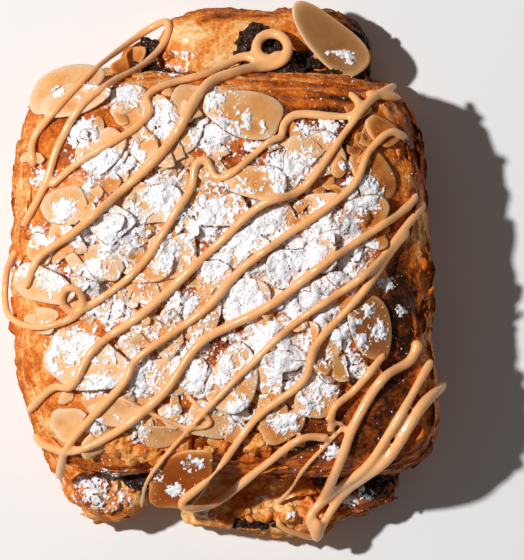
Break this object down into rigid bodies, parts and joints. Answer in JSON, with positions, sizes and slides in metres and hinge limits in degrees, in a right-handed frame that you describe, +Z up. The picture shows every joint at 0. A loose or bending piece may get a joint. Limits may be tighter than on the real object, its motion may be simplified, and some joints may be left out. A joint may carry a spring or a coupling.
{
  "type": "almond pain au chocolat",
  "caption": "Square laminated pastry split and filled with chocolate, its domed crown topped with flaked almonds, icing sugar and a looping nut-cream drizzle.",
  "frame": {"origin": "on the surface that the pastry rests on, under the middle of its body", "axes": "+X across the pastry, +Y along the roll towards the end with the drizzle's ring, +Z up"},
  "size_m": [0.1018, 0.1233, 0.048],
  "materials": {
    "lower_crust": "flaky baked dough",
    "upper_crust": "egg-washed baked crust",
    "chocolate": "crumbly dark chocolate",
    "almond": "toasted almond",
    "drizzle": "satin nut cream",
    "icing_sugar": "fine powder",
    "crumb": "loose flakes and crumbs"
  },
  "bodies": {
    "root": {"base": "lower_crust", "filling": "chocolate", "crown": "upper_crust", "almond_01": "almond", "almond_02": "almond", "almond_03": "almond", "almond_04": "almond", "almond_05": "almond", "almond_06": "almond", "almond_07": "almond", "almond_08": "almond", "almond_09": "almond", "almond_10": "almond", "almond_11": "almond", "almond_12": "almond", "almond_13": "almond", "almond_14": "almond", "almond_15": "almond", "almond_16": "almond", "almond_17": "almond", "almond_18": "almond", "almond_19": "almond", "almond_20": "almond", "almond_21": "almond", "almond_22": "almond", "almond_23": "almond", "almond_24": "almond", "almond_25": "almond", "almond_26": "almond", "almond_27": "almond", "almond_28": "almond", "almond_29": "almond", "almond_30": "almond", "almond_31": "almond", "almond_32": "almond", "almond_33": "almond", "almond_34": "almond", "almond_35": "almond", "almond_36": "almond", "almond_37": "almond", "almond_38": "almond", "almond_39": "almond", "almond_40": "almond", "almond_41": "almond"}
  },
  "joints": []
}
